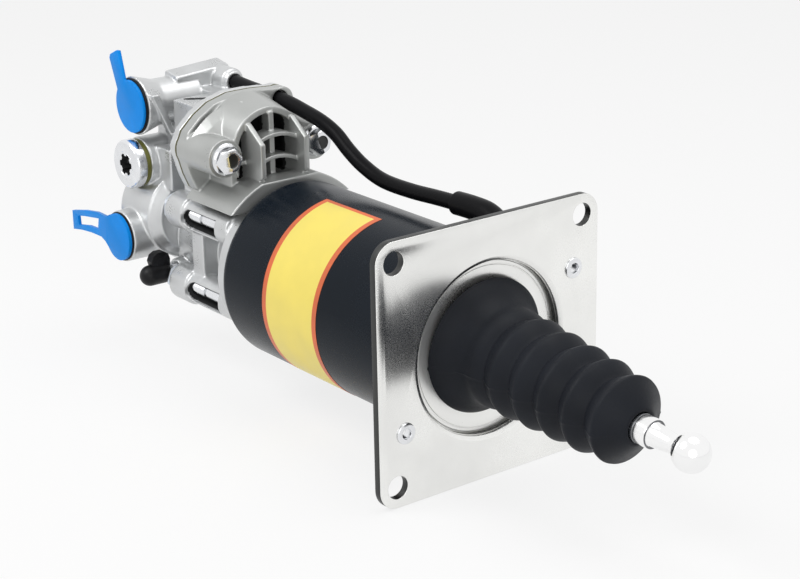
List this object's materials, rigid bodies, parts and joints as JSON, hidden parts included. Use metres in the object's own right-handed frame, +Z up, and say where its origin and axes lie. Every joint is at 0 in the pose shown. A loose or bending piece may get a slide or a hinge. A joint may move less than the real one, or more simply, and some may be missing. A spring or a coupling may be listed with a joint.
{
  "type": "clutch servo",
  "caption": "Air assisted hydraulic clutch servo with a flanged air cylinder, control valve, bellows boot and a ball ended push rod.",
  "frame": {"origin": "centre of the flange plate's mounting face, on the cylinder's axis", "axes": "+X along the push rod towards its ball, +Z up towards the control valve, the ports face -Y"},
  "size_m": [0.4411, 0.13, 0.1634],
  "materials": {
    "zinc_steel": "bright zinc plate",
    "black_paint": "semi-gloss",
    "boot_rubber": "matte",
    "piston_aluminium": "machined",
    "seal_rubber": "matte",
    "guide_plastic": "matte",
    "spring_steel": "oiled",
    "chrome_steel": "polished",
    "bush_brass": "machined",
    "cast_aluminium": "satin as cast",
    "bolt_steel": "bright zinc plate",
    "gasket_fibre": "matte",
    "washer_olive": "satin",
    "plug_blue": "satin",
    "cap_rubber": "satin",
    "pipe_rubber": "satin"
  },
  "bodies": {
    "housing": {"flange_plate": "zinc_steel", "locating_bushes": "zinc_steel", "cylinder_shell": "black_paint", "front_ring": "zinc_steel", "dust_boot": "boot_rubber", "preload_spring": "spring_steel", "gland_bush": "bush_brass", "gland_seal": "seal_rubber", "main_casting": "cast_aluminium", "body_seal": "seal_rubber", "tie_bolts": "bolt_steel", "valve_cover": "cast_aluminium", "cover_gasket": "gasket_fibre", "cover_bolts": "bolt_steel", "screw_plug": "bolt_steel", "plug_washer": "washer_olive", "air_port_ring": "seal_rubber", "fluid_port_ring": "seal_rubber", "vent_pipe": "pipe_rubber", "pipe_sleeve": "pipe_rubber", "vent_nipple": "zinc_steel", "control_spring": "spring_steel", "exhaust_flap": "seal_rubber"},
    "piston": {"piston": "piston_aluminium", "piston_seal": "seal_rubber", "guide_band": "guide_plastic", "plunger": "chrome_steel", "plunger_seal": "seal_rubber", "rod_retainer": "spring_steel"},
    "rod": {"push_rod": "chrome_steel", "ball_end": "chrome_steel"},
    "control": {"control_piston": "piston_aluminium", "control_seal": "seal_rubber"},
    "air_plug": {"air_port_plug": "plug_blue"},
    "fluid_plug": {"fluid_port_plug": "plug_blue"},
    "bleeder": {"bleed_screw": "bolt_steel"},
    "bleeder_cap": {"bleed_cap": "cap_rubber"}
  },
  "joints": [
    {"name": "piston_stroke", "type": "slide", "parent": "housing", "child": "piston", "axis": [1, 0, 0], "range_m": [-0.055, 0.02], "deforming": ["dust_boot", "preload_spring"]},
    {"name": "rod_swing", "type": "hinge", "parent": "piston", "child": "rod", "pos_m": [-0.036, 0, 0], "axis": [0, 1, 0], "range_deg": [-8.1, 1.9], "deforming": ["dust_boot"]},
    {"name": "control_travel", "type": "slide", "parent": "housing", "child": "control", "axis": [1, 0, 0], "range_m": [0, 0.004], "stiffness_N_per_m": 600, "springref_m": -0.004, "deforming": ["control_spring"]},
    {"name": "air_plug_pull", "type": "slide", "parent": "housing", "child": "air_plug", "axis": [0, -1, 0], "range_m": [0, 0.02]},
    {"name": "fluid_plug_pull", "type": "slide", "parent": "housing", "child": "fluid_plug", "axis": [0, -1, 0], "range_m": [0, 0.018]},
    {"name": "bleed_turn", "type": "hinge", "parent": "housing", "child": "bleeder", "pos_m": [-0.236, -0.024, -0.0165], "axis": [0, -1, 0], "range_deg": [0, 90]},
    {"name": "bleed_cap_pull", "type": "slide", "parent": "bleeder", "child": "bleeder_cap", "axis": [0, -1, 0], "range_m": [0, 0.015]}
  ]
}
